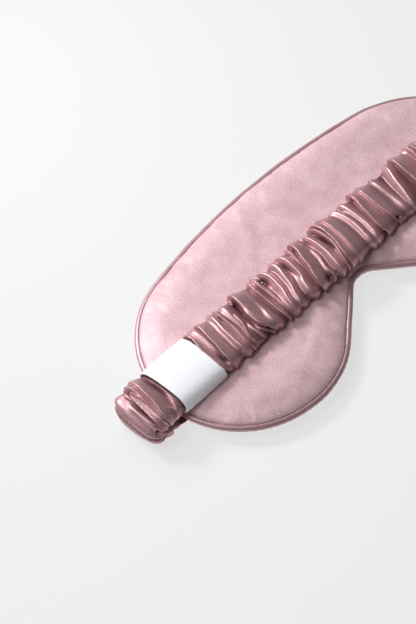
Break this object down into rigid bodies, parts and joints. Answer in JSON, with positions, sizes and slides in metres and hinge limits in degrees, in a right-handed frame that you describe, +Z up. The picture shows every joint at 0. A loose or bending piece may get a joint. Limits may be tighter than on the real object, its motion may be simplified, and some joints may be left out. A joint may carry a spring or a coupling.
{
  "type": "sleep eye mask",
  "caption": "Padded satin sleep mask with piped edge and a wide gathered elastic strap folded over its face side, with a blank label loop.",
  "frame": {"origin": "centre of the mask's outline on the surface it lies on, which is the underside of its front", "axes": "+X along the mask towards the end without the label, +Y towards the forehead edge, +Z up, out of the face side"},
  "size_m": [0.249, 0.1006, 0.0158],
  "materials": {
    "satin_rose": "satin",
    "satin_piping": "satin",
    "satin_gathered": "satin, gathered",
    "wadding": "matte fibre",
    "lining_black": "matte",
    "cord": "matte",
    "elastic_white": "matte knit",
    "label_white": "satin ribbon",
    "thread_rose": "matte",
    "thread_white": "matte"
  },
  "bodies": {
    "mask": {"face_panel": "satin_rose", "front_panel": "satin_rose", "face_wadding": "wadding", "front_wadding": "wadding", "blackout_lining": "lining_black", "piping_cord": "cord", "piping_cover": "satin_piping", "left_strap_end_cover": "satin_gathered", "left_strap_end_elastic": "elastic_white", "left_tack_stitches": "thread_rose", "right_strap_end_cover": "satin_gathered", "right_strap_end_elastic": "elastic_white", "right_tack_stitches": "thread_rose", "label_loop": "label_white", "label_stitches": "thread_white"},
    "strap": {"strap_cover": "satin_gathered", "strap_elastic": "elastic_white"}
  },
  "joints": [
    {"name": "strap_lift", "type": "slide", "parent": "mask", "child": "strap", "axis": [0, 0, 1], "range_m": [0, 0.05], "stiffness_N_per_m": 40, "deforming": ["left_strap_end_cover", "left_strap_end_elastic", "right_strap_end_cover", "right_strap_end_elastic"]}
  ]
}
